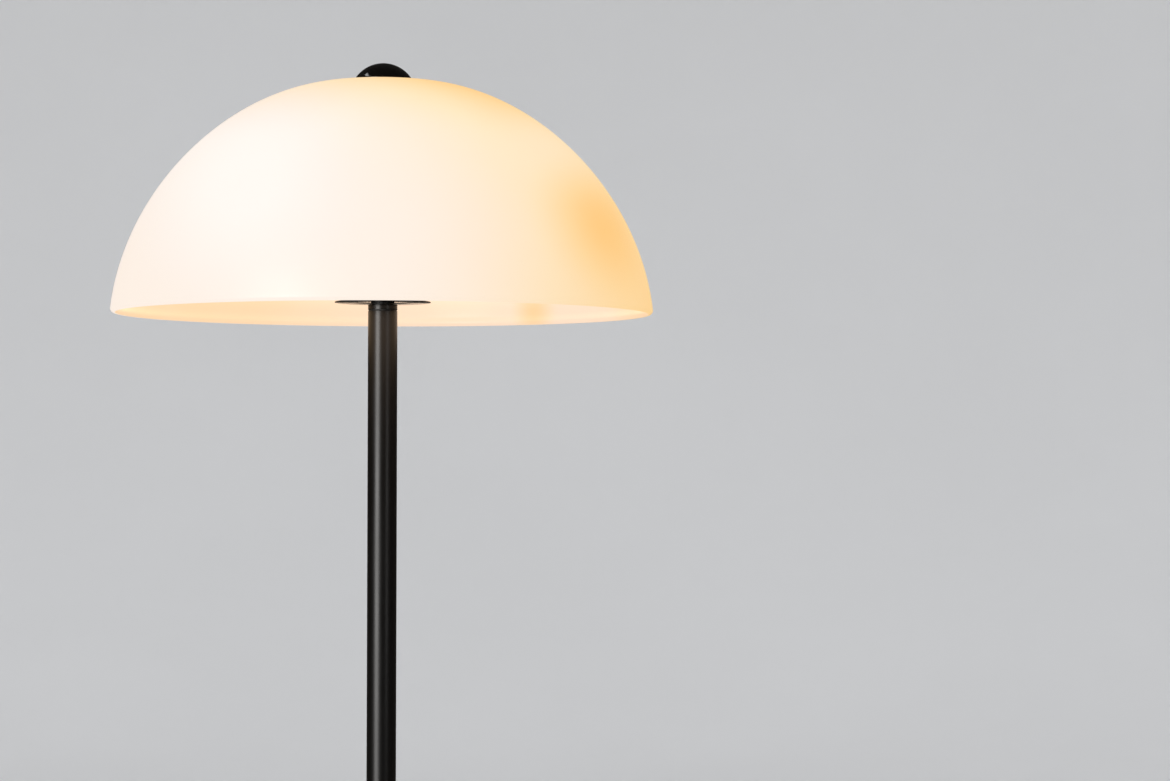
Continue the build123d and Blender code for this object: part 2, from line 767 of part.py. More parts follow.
with BuildPart() as led_board:
    with BuildSketch(holder_station(cup_bottom)):
        Circle(led_board_radius)
    extrude(amount=led_board_thickness)
led_board.part.label = "led_board"
export_step(led_board.part, "parts/led_board.step")

with BuildPart() as led_chips:
    with BuildSketch(holder_station(bulb_housing_end)):
        with PolarLocations(led_ring_radius, led_count):
            Rectangle(led_size, led_size)
    extrude(amount=led_height)
led_chips.part.label = "led_chips"
export_step(led_chips.part, "parts/led_chips.step")

# Opal ball that sits on the housing's rim
globe_inner_radius = bulb_globe_radius - bulb_globe_wall
globe_front = bulb_globe_centre + bulb_globe_radius
inner_rim_radius = math.sqrt(globe_inner_radius**2 - bulb_globe_setback**2)
with BuildPart() as bulb_globe:
    with BuildSketch(holder_section):
        with BuildLine():
            ThreePointArc(
                (bulb_housing_rim_radius, bulb_housing_end),
                (bulb_globe_radius, bulb_globe_centre),
                (0, globe_front),
            )
            Line((0, globe_front), (0, globe_front - bulb_globe_wall))
            ThreePointArc(
                (0, globe_front - bulb_globe_wall),
                (globe_inner_radius, bulb_globe_centre),
                (inner_rim_radius, bulb_housing_end),
            )
            Line((inner_rim_radius, bulb_housing_end), (bulb_housing_rim_radius, bulb_housing_end))
        make_face()
    revolve(axis=holder_axis)
bulb_globe.part.label = "bulb_globe"
export_step(bulb_globe.part, "parts/bulb_globe.step")

# ======== Shade and its seat on the rod =======================================================

with BuildPart() as shade_support_nut:
    with BuildSketch(Plane.XY.offset(support_nut_bottom)):
        RegularPolygon(radius=support_nut_flats / 2, side_count=6, major_radius=False)
        Circle(thread_bore_radius, mode=Mode.SUBTRACT)
    extrude(amount=support_nut_height)
shade_support_nut.part.label = "shade_support_nut"
export_step(shade_support_nut.part, "parts/shade_support_nut.step")

with BuildPart() as shade_support_plate:
    with BuildSketch(Plane.XY.offset(support_plate_bottom)):
        Circle(support_plate_radius)
        Circle(thread_bore_radius, mode=Mode.SUBTRACT)
    extrude(amount=support_plate_thickness)
shade_support_plate.part.label = "shade_support_plate"
export_step(shade_support_plate.part, "parts/shade_support_plate.step")

# Silicone seat with a spigot that centres the glass's hole on the rod
spigot_bore = thread_bore_radius + thread_gap
with BuildPart() as lower_gasket:
    with BuildSketch(Plane.XY.offset(lower_gasket_bottom)):
        Circle(gasket_radius)
        Circle(spigot_bore, mode=Mode.SUBTRACT)
    extrude(amount=lower_gasket_thickness)
    with BuildSketch(Plane.XY.offset(lower_gasket_top)):
        Circle(spigot_bore + gasket_spigot_wall)
        Circle(spigot_bore, mode=Mode.SUBTRACT)
    extrude(amount=gasket_spigot_height)
lower_gasket.part.label = "lower_gasket"
export_step(lower_gasket.part, "parts/lower_gasket.step")

# Opal glass dome: flat apex seat, free curve down to the side, thicker rounded lip
with BuildPart() as shade:
    with BuildSketch(Plane.XZ):
        with BuildLine():
            outside = Bezier(*dome_curve(0))
            inside = Bezier(*dome_curve(shade_wall))
            Polyline(
                outside @ 0,
                (shade_hole_radius, shade_top),
                (shade_hole_radius, glass_seat),
                inside @ 0,
            )
            Line(outside @ 1, inside @ 1)
        make_face()
        with Locations((shade_radius - shade_lip_radius, rim_height + shade_lip_radius)):
            Circle(shade_lip_radius)
    revolve(axis=Axis.Z)
    lip_crease = (
        shade.edges()
        .filter_by(GeomType.CIRCLE)
        .filter_by(lambda e: abs(e.radius - shade_radius + shade_wall) < shade_lip_radius / 2)
        .sort_by(Axis.Z)[-1]
    )
    fillet(lip_crease, radius=shade_lip_blend)
shade.part.label = "shade"
export_step(shade.part, "parts/shade.step")

with BuildPart() as upper_gasket:
    with BuildSketch(Plane.XY.offset(upper_gasket_bottom)):
        Circle(gasket_radius)
        Circle(clear_bore_radius, mode=Mode.SUBTRACT)
    extrude(amount=upper_gasket_thickness)
upper_gasket.part.label = "upper_gasket"
export_step(upper_gasket.part, "parts/upper_gasket.step")

# Domed nut: a cap of a ball with a short straight edge, and a pocket for its brass thread
finial_top = finial_bottom + finial_height
ball_centre = finial_top - finial_ball_radius
edge_height = finial_bottom + finial_edge
finial_radius = math.sqrt(finial_ball_radius**2 - (edge_height - ball_centre) ** 2)
pocket_top = finial_bottom + finial_insert_height
arc_middle = math.radians(60)
with BuildPart() as finial:
    with BuildSketch(Plane.XZ):
        with BuildLine():
            Polyline(
                (0, finial_top),
                (0, pocket_top),
                (finial_insert_radius + press_gap, pocket_top),
                (finial_insert_radius + press_gap, finial_bottom),
                (finial_radius, finial_bottom),
                (finial_radius, edge_height),
            )
            ThreePointArc(
                (finial_radius, edge_height),
                (
                    finial_ball_radius * math.cos(arc_middle),
                    ball_centre + finial_ball_radius * math.sin(arc_middle),
                ),
                (0, finial_top),
            )
        make_face()
    revolve(axis=Axis.Z)
finial.part.label = "finial"
export_step(finial.part, "parts/finial.step")

with BuildPart() as finial_insert:
    with BuildSketch(Plane.XY.offset(finial_bottom)):
        Circle(finial_insert_radius)
    extrude(amount=finial_insert_height)
    with Locations((0, 0, finial_bottom)):
        Hole(radius=thread_bore_radius, depth=finial_insert_height - finial_roof)
finial_insert.part.label = "finial_insert"
export_step(finial_insert.part, "parts/finial_insert.step")

# ======== Wiring inside the pole ==============================================================

with BuildPart() as lead_sheath:
    with BuildSketch(Plane.XY.offset(base_nipple_bottom)):
        Circle(sheath_radius)
        Circle(sheath_bore_radius, mode=Mode.SUBTRACT)
    extrude(amount=hub_bottom + hub_thread_depth - base_nipple_bottom)
lead_sheath.part.label = "lead_sheath"
export_step(lead_sheath.part, "parts/lead_sheath.step")



def core_path(side):
    """Route of one core, from the terminal block up the pole into the lampholder."""
    offset = side * core_spacing
    way = side * terminal_pitch / 2
    terminal_face = terminal_length / 2 - terminal_offset
    floor_run = base_nipple_bottom - core_bend_radius - core_radius
    bend = holder_station(port_reach + cap_thread_length + core_clear_run)
    spread = holder_station(insert_back - holder_terminal_height - core_clear_run)
    terminal = holder_station(wire_end)
    return [
        (-terminal_offset, way, terminal_middle),
        (terminal_face + core_exit_run, way, terminal_middle),
        (terminal_face + core_exit_run + core_drop_run, offset, floor_run),
        (0, offset, floor_run),
        (0, offset, hub_middle),
        bend.from_local_coords((offset, 0, 0)),
        spread.from_local_coords((side * wire_hole_offset, 0, 0)),
        terminal.from_local_coords((side * wire_hole_offset, 0, 0)),
    ]


# One radius for each corner of the route: three in the base, three in the head
core_radii = [
    core_bend_radius,
    core_bend_radius,
    core_bend_radius,
    holder_bend_radius,
    holder_bend_radius,
    holder_bend_radius,
]

with BuildPart() as live_core:
    with BuildLine():
        live_route = FilletPolyline(*core_path(1), radius=core_radii)
    with BuildSketch(Plane(origin=live_route @ 0, z_dir=live_route % 0)):
        Circle(core_radius)
    sweep()
live_core.part.label = "live_core"
export_step(live_core.part, "parts/live_core.step")

with BuildPart() as neutral_core:
    with BuildLine():
        neutral_route = FilletPolyline(*core_path(-1), radius=core_radii)
    with BuildSketch(Plane(origin=neutral_route @ 0, z_dir=neutral_route % 0)):
        Circle(core_radius)
    sweep()
neutral_core.part.label = "neutral_core"
export_step(neutral_core.part, "parts/neutral_core.step")

# Lengths, and how the swept volume compares with section times length
for core, route in ((live_core, live_route), (neutral_core, neutral_route)):
    expected = math.pi * core_radius**2 * route.length
    print(f"{core.part.label}: {route.length:.1f} mm, volume ratio {core.part.volume / expected:.4f}")
print(f"total height {finial_top:.1f} mm, rim {rim_height:.1f} mm above the floor")
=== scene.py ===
"""Looks of the mushroom floor lamp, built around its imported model.

Scene units are metres, +Z up, front at -Y. Sizes of pieces are named in millimetres, and MM turns them into
metres. Camera, lights, studio and places in materials are in metres.
"""
import json
import math

import bmesh
import bpy
from mathutils import Matrix, Vector

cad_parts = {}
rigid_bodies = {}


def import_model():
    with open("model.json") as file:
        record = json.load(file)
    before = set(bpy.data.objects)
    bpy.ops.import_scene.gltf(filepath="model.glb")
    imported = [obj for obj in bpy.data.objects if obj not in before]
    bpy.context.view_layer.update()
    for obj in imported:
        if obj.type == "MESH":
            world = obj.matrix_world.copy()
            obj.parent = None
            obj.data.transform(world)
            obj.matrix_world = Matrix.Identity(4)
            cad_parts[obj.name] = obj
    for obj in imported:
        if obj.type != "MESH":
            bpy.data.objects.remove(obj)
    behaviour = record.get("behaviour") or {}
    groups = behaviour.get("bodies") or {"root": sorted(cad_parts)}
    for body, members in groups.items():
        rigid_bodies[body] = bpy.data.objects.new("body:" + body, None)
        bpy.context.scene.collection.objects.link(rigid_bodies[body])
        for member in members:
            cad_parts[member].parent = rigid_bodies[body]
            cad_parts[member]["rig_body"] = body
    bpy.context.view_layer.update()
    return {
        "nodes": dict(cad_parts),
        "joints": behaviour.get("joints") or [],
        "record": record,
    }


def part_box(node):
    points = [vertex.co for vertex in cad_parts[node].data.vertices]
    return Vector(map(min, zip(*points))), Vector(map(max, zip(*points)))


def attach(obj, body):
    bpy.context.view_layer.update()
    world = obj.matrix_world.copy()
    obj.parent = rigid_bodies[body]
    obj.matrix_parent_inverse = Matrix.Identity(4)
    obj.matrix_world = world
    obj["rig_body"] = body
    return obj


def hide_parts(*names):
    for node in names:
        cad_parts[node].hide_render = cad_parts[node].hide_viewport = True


MM = 0.001

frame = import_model()
slot_of = {part["node"]: part["material_slot"] for part in frame["record"]["subparts"]}
body_of = {node: piece["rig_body"] for node, piece in frame["nodes"].items()}

# ======== Places that the frame gives =========================================================

hub_low, hub_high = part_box("head_hub")
hub_centre = Vector((0, 0, (hub_low.z + hub_high.z) / 2))
holder_direction = Vector(next(j["axis"] for j in frame["joints"] if j["name"] == "bulb_out"))

# Local frames for turned pieces: Z runs along the axis that the piece is turned about
UPRIGHT = Matrix.Identity(4)
HOLDER = Matrix.Translation(hub_centre) @ holder_direction.to_track_quat("Z", "X").to_matrix().to_4x4()


def extent(node, place=UPRIGHT):
    """(largest radius, start, end) of a CAD node about the Z axis of a local frame, in mm."""
    inverse = place.inverted()
    points = [inverse @ v.co for v in frame["nodes"][node].data.vertices]
    radius = max(math.hypot(p.x, p.y) for p in points)
    return radius / MM, min(p.z for p in points) / MM, max(p.z for p in points) / MM


# ======== Camera ==============================================================================

IMAGE_WIDTH = 1170
FOCAL_PIXELS = 3491.6
SENSOR_WIDTH = 36.0
CAMERA_PLACE = (0.1724, -2.9713, 1.1418)
CAMERA_PITCH = 1.558       # degrees upwards
CAMERA_ROLL = 0.1          # degrees; the lamp leans to the right in the picture

camera_data = bpy.data.cameras.new("camera")
camera_data.sensor_width = SENSOR_WIDTH
camera_data.lens = FOCAL_PIXELS / IMAGE_WIDTH * SENSOR_WIDTH
camera = bpy.data.objects.new("camera", camera_data)
camera.matrix_world = (
    Matrix.Translation(CAMERA_PLACE)
    @ Matrix.Rotation(math.radians(90 + CAMERA_PITCH), 4, "X")
    @ Matrix.Rotation(math.radians(CAMERA_ROLL), 4, "Z")
)
bpy.context.scene.collection.objects.link(camera)
bpy.context.scene.camera = camera
bpy.context.scene.view_settings.view_transform = "Standard"

# ======== Node helpers ========================================================================


def add(tree, kind, inputs=None, **settings):
    """A shader node. An input may be a value or another node's output."""
    made = tree.nodes.new("ShaderNode" + kind)
    for key, value in settings.items():
        setattr(made, key, value)
    for key, value in (inputs or {}).items():
        if isinstance(value, bpy.types.NodeSocket):
            tree.links.new(value, made.inputs[key])
        else:
            made.inputs[key].default_value = value
    return made


def arithmetic(tree, operation, a, b=0.0):
    return add(tree, "Math", {0: a, 1: b}, operation=operation).outputs[0]


def ramp(tree, value, start, end, low=0.0, high=1.0):
    """Smooth step from low to high as value goes from start to end."""
    inputs = {"Value": value, "From Min": start, "From Max": end, "To Min": low, "To Max": high}
    return add(tree, "MapRange", inputs, interpolation_type="SMOOTHSTEP").outputs[0]


def blend(tree, factor, a, b):
    """Colour a where factor is 0, colour b where it is 1."""
    return add(tree, "Mix", {0: factor, 6: a, 7: b}, data_type="RGBA").outputs[2]


def noise(tree, position, scale, detail=2.0, roughness=0.5):
    """Noise of about that many features a metre."""
    inputs = {"Vector": position, "Scale": scale, "Detail": detail, "Roughness": roughness}
    return add(tree, "TexNoise", inputs).outputs["Fac"]


def linear(red, green, blue):
    """An 8-bit sRGB colour as linear RGBA."""
    values = [c / 255 for c in (red, green, blue)]
    return [c / 12.92 if c <= 0.04045 else ((c + 0.055) / 1.055) ** 2.4 for c in values] + [1.0]


def new_material(name):
    """(material, its tree, its Principled shader, its object coordinates)"""
    material = bpy.data.materials.new(name)
    material.use_nodes = True
    tree = material.node_tree
    shader = tree.nodes["Principled BSDF"]
    return material, tree, shader, tree.nodes.new("ShaderNodeTexCoord").outputs["Object"]


# ======== Plain finishes ======================================================================


def finish(name, colour, roughness, metallic=0.0, mottle=(40, 0.1), smudge=0.08, grain=(900, 0.02),
           stretch=(1, 1, 1), coat=0.0, ior=1.5, fleck=None):
    """A material from noise at three sizes.

    mottle: features a metre and share by which the colour darkens there.
    smudge: how far the roughness varies, at the mottle's size.
    grain: features a metre and depth in mm of the fine relief.
    stretch: scale of the relief's coordinates, for brushed and turned surfaces.
    fleck: (features a metre, share covered, colour) of small spots.
    """
    material, tree, shader, position = new_material(name)
    patches = noise(tree, position, mottle[0], 3.0)
    dark = [c * (1 - mottle[1]) for c in colour[:3]] + [1.0]
    tint = blend(tree, ramp(tree, patches, 0.35, 0.65), list(colour[:3]) + [1.0], dark)
    if fleck:
        spots = noise(tree, position, fleck[0], 1.0)
        tint = blend(tree, ramp(tree, spots, 1 - fleck[1], 1 - fleck[1] + 0.04), tint, fleck[2])
    tree.links.new(tint, shader.inputs["Base Color"])
    worn = ramp(tree, patches, 0.3, 0.7, roughness - smudge, roughness + smudge)
    tree.links.new(worn, shader.inputs["Roughness"])
    along = add(tree, "Mapping", {"Vector": position, "Scale": stretch}).outputs[0]
    relief = noise(tree, along, grain[0], 2.0)
    bump = add(tree, "Bump", {"Height": relief, "Distance": grain[1] * MM, "Strength": 1.0})
    tree.links.new(bump.outputs[0], shader.inputs["Normal"])
    shader.inputs["Metallic"].default_value = metallic
    shader.inputs["Coat Weight"].default_value = coat
    shader.inputs["IOR"].default_value = ior
    return material


BLACK = (0.0036, 0.0029, 0.0024)

materials = {
    "black_metal": finish("black_metal", BLACK, 0.34, mottle=(9, 0.12), smudge=0.035,
                          grain=(1500, 0.012), ior=1.38),
    "polished_black": finish("polished_black", BLACK, 0.11, mottle=(30, 0.12), smudge=0.02,
                             grain=(1500, 0.002), ior=1.45),
    "dark_step": finish("dark_step", (0.008, 0.008, 0.008), 0.55, mottle=(60, 0.2), grain=(1200, 0.02)),
    "cast_iron": finish("cast_iron", (0.09, 0.09, 0.095), 0.75, mottle=(90, 0.45), grain=(420, 0.25),
                        metallic=0.4),
    "foot_pad": finish("foot_pad", (0.025, 0.025, 0.026), 0.9, mottle=(150, 0.3), grain=(1600, 0.12)),
    "black_rubber": finish("black_rubber", (0.016, 0.016, 0.017), 0.62, mottle=(120, 0.2),
                           grain=(2200, 0.02)),
    "zinc_steel": finish("zinc_steel", (0.62, 0.62, 0.60), 0.3, metallic=1.0, mottle=(160, 0.18),
                         smudge=0.1, grain=(500, 0.006), stretch=(1, 1, 5)),
    "brass": finish("brass", (0.72, 0.52, 0.22), 0.28, metallic=1.0, mottle=(140, 0.3), smudge=0.1,
                    grain=(500, 0.006), stretch=(1, 1, 5)),
    "holder_plastic": finish("holder_plastic", (0.018, 0.018, 0.019), 0.42, mottle=(80, 0.15),
                             grain=(1800, 0.02)),
    "terminal_plastic": finish("terminal_plastic", (0.78, 0.78, 0.74), 0.5, mottle=(70, 0.06),
                               grain=(1200, 0.02)),
    "porcelain": finish("porcelain", (0.8, 0.78, 0.72), 0.2, mottle=(120, 0.06), grain=(300, 0.03),
                        coat=0.6, fleck=(900, 0.3, (0.45, 0.4, 0.33, 1))),
    "silicone": finish("silicone", (0.52, 0.52, 0.50), 0.55, mottle=(100, 0.1), grain=(1400, 0.02)),
    "bulb_plastic": finish("bulb_plastic", (0.82, 0.81, 0.78), 0.45, mottle=(50, 0.04),
                           grain=(1500, 0.015)),
    "nickel_plate": finish("nickel_plate", (0.66, 0.64, 0.60), 0.24, metallic=1.0, mottle=(180, 0.25),
                           smudge=0.1, grain=(700, 0.006)),
    "vitrite": finish("vitrite", (0.02, 0.012, 0.03), 0.12, mottle=(200, 0.3), smudge=0.05,
                      grain=(400, 0.02), coat=0.5),
    "solder": finish("solder", (0.55, 0.55, 0.54), 0.45, metallic=1.0, mottle=(400, 0.3),
                     grain=(600, 0.08)),
    "led_board": finish("led_board", (0.82, 0.82, 0.8), 0.4, mottle=(300, 0.08), grain=(2000, 0.01)),
    "led_phosphor": finish("led_phosphor", (0.85, 0.68, 0.12), 0.3, mottle=(900, 0.1),
                           grain=(3000, 0.01)),
    "sheath": finish("sheath", (0.015, 0.015, 0.015), 0.5, mottle=(40, 0.15), grain=(900, 0.02)),
    "core_brown": finish("core_brown", (0.16, 0.055, 0.02), 0.45, mottle=(60, 0.15), grain=(900, 0.02)),
    "core_blue": finish("core_blue", (0.03, 0.11, 0.38), 0.45, mottle=(60, 0.15), grain=(900, 0.02)),
}

# ======== Lit glass ===========================================================================

shade_low, shade_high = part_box("shade")
RIM = shade_low.z
DOME_MIDDLE = Vector((0, 0, RIM + 0.030))

# Linear colour of the glowing glass by light level, from its dimmest to its brightest part
GLASS_COLOURS = (
    (0.00, (0.92, 0.440, 0.00)),
    (0.15, (0.92, 0.525, 0.15)),
    (0.28, (0.92, 0.621, 0.28)),
    (0.44, (0.92, 0.706, 0.44)),
    (0.60, (0.92, 0.760, 0.60)),
    (0.75, (0.92, 0.825, 0.75)),
    (0.82, (0.92, 0.875, 0.82)),
)

# Painted light level of the dome's outside, dimmer to the right and upwards. A change is (where it starts,
# where it ends, how much) along X or Z
FRONT_LEVEL = 0.72
RIGHT_FALL = (0.0, 0.266, -0.488)
UPPER_FALL = (RIM + 0.134, RIM + 0.429, -2.23)
# Painted shade over the right of the crown, deeper towards the top
CROWN_SIDE = (-0.090, 0.068, 1.0)
CROWN_FALL = (RIM + 0.042, RIM + 0.370, -0.539)

# Patches of painted light and shadow: (centre, radii, slant in degrees about Y, change of the light level
# at the centre)
THROUGH = 100.0            # depth of a patch that runs through the whole dome
OUTSIDE_PATCHES = (
    # painted bright spot beside the bulb
    ((-0.103, 0, RIM + 0.097), (0.126, THROUGH, 0.126), 0, 0.111),
    # painted shadow of the lampholder
    ((0.175, -0.100, RIM + 0.064), (0.065, 0.12, 0.075), -38, -0.18),
    # painted yellow glow high on the right
    ((0.160, 0, RIM + 0.152), (0.076, THROUGH, 0.076), 0, 0.145),
)

# Painted light level, tint and strength of the dome's inside, with a painted shadow on the far wall
INSIDE_LEVEL = 0.375
INSIDE_RISE = (-0.16, 0.06, 0.12)
INSIDE_RIGHT_FALL = (0.19, 0.22, -0.12)
INSIDE_CLOUDS = 9
INSIDE_CLOUD_DEPTH = 0.02
# painted shadow on the far inner wall
INSIDE_PATCH = ((0.126, 0.185, RIM + 0.012), (0.025, 0.06, 0.03), 0, -0.22)
INSIDE_TINT = (1.0, 0.93, 1.0, 1.0)
INSIDE_GAIN = (RIM + 0.012, RIM + 0.070, 1.0)

# The glass's own surface
GLASS_BASE = (0.11, 0.105, 0.095, 1)
GLASS_IOR = 1.28
GLASS_ROUGHNESS = (0.36, 0.48)
GLASS_WIPES = 14
GLASS_WAVES = 16
GLASS_WAVE_HEIGHT = 0.5 * MM
EDGE_WIDTH = 0.15          # how far a surface may turn past edge-on while inside and outside blend

BULB_COLOUR = linear(255, 232, 196)
BULB_STRENGTH = 6.0
BULB_FALLOFF = 0.06


def offset_from(tree, position, place):
    return add(tree, "VectorMath", {0: position, 1: place}, operation="SUBTRACT").outputs["Vector"]


def length_of(tree, vector):
    return add(tree, "VectorMath", {0: vector}, operation="LENGTH").outputs["Value"]


def change(tree, value, start, end, amount, base=0.0):
    """Smooth step from base to base + amount."""
    return ramp(tree, value, start, end, base, base + amount)


def patch(tree, position, centre, radii, slant, amount):
    """amount at a patch's centre, falling smoothly to 0 at its radii."""
    turn = (0, math.radians(slant), 0)
    inputs = {"Vector": position, "Location": centre, "Rotation": turn, "Scale": radii}
    local = add(tree, "Mapping", inputs, vector_type="TEXTURE").outputs[0]
    return arithmetic(tree, "MULTIPLY", ramp(tree, length_of(tree, local), 1.0, 0.0), amount)


def sum_of(tree, terms):
    total = terms[0]
    for term in terms[1:]:
        total = arithmetic(tree, "ADD", total, term)
    return total


def opal_glass():
    """Flashed opal glass, lit from inside: its light is painted by place on the dome."""
    material, tree, shader, position = new_material("opal_glass")
    place = add(tree, "SeparateXYZ", {0: position}).outputs
    across, height = place["X"], place["Z"]

    # Painted shade over the right of the crown, deeper towards the top
    far_crown = arithmetic(tree, "MULTIPLY", change(tree, across, *CROWN_SIDE),
                           change(tree, height, *CROWN_FALL))
    outside_terms = [
        change(tree, across, *RIGHT_FALL, FRONT_LEVEL),
        change(tree, height, *UPPER_FALL),
        far_crown,
    ]
    outside_terms += [patch(tree, position, *found) for found in OUTSIDE_PATCHES]
    outside_level = sum_of(tree, outside_terms)
    clouds = noise(tree, position, INSIDE_CLOUDS, 2.0)
    inside_level = sum_of(tree, [
        change(tree, across, *INSIDE_RISE, INSIDE_LEVEL),
        change(tree, across, *INSIDE_RIGHT_FALL),
        ramp(tree, clouds, 0.3, 0.7, -INSIDE_CLOUD_DEPTH, INSIDE_CLOUD_DEPTH),
        patch(tree, position, *INSIDE_PATCH),
    ])

    # The side that a surface belongs to comes from whether it faces away from the dome's middle
    outward = add(tree, "VectorMath", {0: offset_from(tree, position, DOME_MIDDLE)},
                  operation="NORMALIZE").outputs["Vector"]
    normal = next(n for n in tree.nodes if n.type == "TEX_COORD").outputs["Normal"]
    facing = add(tree, "VectorMath", {0: normal, 1: outward}, operation="DOT_PRODUCT").outputs["Value"]
    outer = ramp(tree, facing, -EDGE_WIDTH, EDGE_WIDTH)
    level = add(tree, "Mix", {0: outer, 2: inside_level, 3: outside_level}).outputs[0]

    colours = add(tree, "ValToRGB", {0: level})
    elements = colours.color_ramp.elements
    while len(elements) < len(GLASS_COLOURS):
        elements.new(0.5)
    for element, (at, colour) in zip(elements, GLASS_COLOURS):
        element.position = at
        element.color = (*colour, 1)
    tinted = add(tree, "Mix", {0: 1.0, 6: colours.outputs["Color"], 7: INSIDE_TINT},
                 data_type="RGBA", blend_type="MULTIPLY").outputs[2]
    light = blend(tree, outer, tinted, colours.outputs["Color"])
    tree.links.new(light, shader.inputs["Emission Color"])
    inside_strength = change(tree, height, *INSIDE_GAIN, 1.0)
    strength = add(tree, "Mix", {0: outer, 2: inside_strength, 3: 1.0})
    tree.links.new(strength.outputs[0], shader.inputs["Emission Strength"])

    shader.inputs["Base Color"].default_value = GLASS_BASE
    shader.inputs["IOR"].default_value = GLASS_IOR
    wipe = ramp(tree, noise(tree, position, GLASS_WIPES, 4.0), 0.35, 0.7, *GLASS_ROUGHNESS)
    tree.links.new(wipe, shader.inputs["Roughness"])
    waves = noise(tree, position, GLASS_WAVES, 1.0)
    bump = add(tree, "Bump", {"Height": waves, "Distance": GLASS_WAVE_HEIGHT, "Strength": 1.0})
    tree.links.new(bump.outputs[0], shader.inputs["Normal"])
    return material


def lit_diffuser(name, colour, strength, falloff):
    """A lit plastic surface, a little dimmer in patches."""
    material, tree, shader, position = new_material(name)
    patches = ramp(tree, noise(tree, position, 60, 2.0), 0.3, 0.7)
    dim = [c * (1 - falloff) for c in colour[:3]] + [1.0]
    light = blend(tree, patches, colour, dim)
    tree.links.new(light, shader.inputs["Emission Color"])
    shader.inputs["Emission Strength"].default_value = strength
    tree.links.new(blend(tree, patches, (0.8, 0.78, 0.72, 1), (0.74, 0.72, 0.66, 1)),
                   shader.inputs["Base Color"])
    shader.inputs["Roughness"].default_value = 0.35
    return material


materials["opal_glass"] = opal_glass()
materials["bulb_diffuser"] = lit_diffuser("bulb_diffuser", BULB_COLOUR, BULB_STRENGTH, BULB_FALLOFF)

for node, piece in frame["nodes"].items():
    piece.material_slots[0].material = materials[slot_of[node]]

# ======== Turned meshes =======================================================================


def rounded(corners, steps=4):
    """Closed outline through corners (radius, height, rounding), all in mm."""
    outline = []
    for index, (x, y, rounding) in enumerate(corners):
        corner = Vector((x, y))
        if not rounding:
            outline.append((x, y))
            continue
        back = (Vector(corners[index - 1][:2]) - corner).normalized()
        ahead = (Vector(corners[(index + 1) % len(corners)][:2]) - corner).normalized()
        half = back.angle(ahead) / 2
        middle = corner + (back + ahead).normalized() * rounding / math.sin(half)
        first = corner + back * rounding / math.tan(half) - middle
        last = corner + ahead * rounding / math.tan(half) - middle
        turn = math.atan2(first.x * last.y - first.y * last.x, first.dot(last))
        start = math.atan2(first.y, first.x)
        for step in range(steps + 1):
            angle = start + turn * step / steps
            outline.append((middle.x + rounding * math.cos(angle), middle.y + rounding * math.sin(angle)))
    return outline


def lathe(name, outline, place=UPRIGHT, segments=128, shape=None, sharp=30.0):
    """A mesh turned from an outline of (radius, height) in mm about the place's Z axis.

    The outline is closed, unless it starts and ends on the axis.
    shape(radius, height, angle) gives a radius that changes round the piece.
    """
    lengths = [0.0]
    ends = outline + [outline[0]]
    for (r0, z0), (r1, z1) in zip(ends, ends[1:]):
        lengths.append(lengths[-1] + math.hypot(r1 - r0, z1 - z0))
    solid = outline[0][0] == 0 and outline[-1][0] == 0
    vertices, rings = [], []
    for radius, height in outline:
        if radius == 0:
            rings.append([len(vertices)] * (segments + 1))
            vertices.append(place @ Vector((0, 0, height * MM)))
            continue
        first = len(vertices)
        for index in range(segments):
            angle = math.tau * index / segments
            reach = shape(radius, height, angle) if shape else radius
            point = Vector((reach * math.cos(angle), reach * math.sin(angle), height)) * MM
            vertices.append(place @ point)
        rings.append([first + index % segments for index in range(segments + 1)])
    faces, maps = [], []
    pairs = len(outline) - 1 if solid else len(outline)
    total = lengths[len(outline) - 1] if solid else lengths[-1]
    for row in range(pairs):
        low, high = rings[row], rings[(row + 1) % len(outline)]
        v0, v1 = lengths[row] / total, lengths[row + 1] / total
        for index in range(segments):
            u0, u1 = index / segments, (index + 1) / segments
            corners = [(low[index], u0, v0), (low[index + 1], u1, v0),
                       (high[index + 1], u1, v1), (high[index], u0, v1)]
            if corners[0][0] == corners[1][0]:
                corners = corners[1:]
            elif corners[2][0] == corners[3][0]:
                corners = corners[:3]
            faces.append([c[0] for c in corners])
            maps.extend((c[1], c[2]) for c in corners)
    mesh = bpy.data.meshes.new(name)
    mesh.from_pydata([tuple(v) for v in vertices], [], faces)
    layer = mesh.uv_layers.new(name="OFBake")
    for loop, place_on_map in zip(layer.data, maps):
        loop.uv = place_on_map
    work = bmesh.new()
    work.from_mesh(mesh)
    bmesh.ops.recalc_face_normals(work, faces=work.faces)
    work.to_mesh(mesh)
    work.free()
    mesh.shade_smooth()
    mesh.set_sharp_from_angle(angle=math.radians(sharp))
    piece = bpy.data.objects.new(name, mesh)
    bpy.context.scene.collection.objects.link(piece)
    return piece


def dress(node, outline, look=None, **options):
    """A turned piece that stands for a CAD node: same body, same finish unless another look is named."""
    piece = lathe(node + "_turned", outline, **options)
    piece.data.materials.append(materials[look or slot_of[node]])
    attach(piece, body_of[node])
    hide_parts(node)
    return piece


def tube(node, bore, rounding, place=UPRIGHT, **options):
    """A plain ring or tube with rounded edges, of the node's own outer size."""
    radius, start, end = extent(node, place)
    corners = [(radius, start, rounding), (radius, end, rounding), (bore, end, rounding),
               (bore, start, rounding)]
    return dress(node, rounded(corners), place=place, **options)


def steps_between(start, end, count):
    return [start + (end - start) * index / count for index in range(count + 1)]


# ======== Pole and base =======================================================================

POLE_BORE = 11.0
TUBE_BORE = 2.9            # of the threaded tubes that the wires run through
CLEAR_BORE = 5.4           # holes that a threaded tube passes
THREAD_BORE = 5.1          # holes that it screws into

tube("pole_lower", POLE_BORE, 0.35)
tube("pole_upper", POLE_BORE, 0.35)
tube("pole_top_collar", CLEAR_BORE, 0.4)
tube("disc_spacer", CLEAR_BORE, 0.15)
tube("glare_disc", CLEAR_BORE, 0.3, segments=192, look="polished_black")

# ======== Shade ===============================================================================

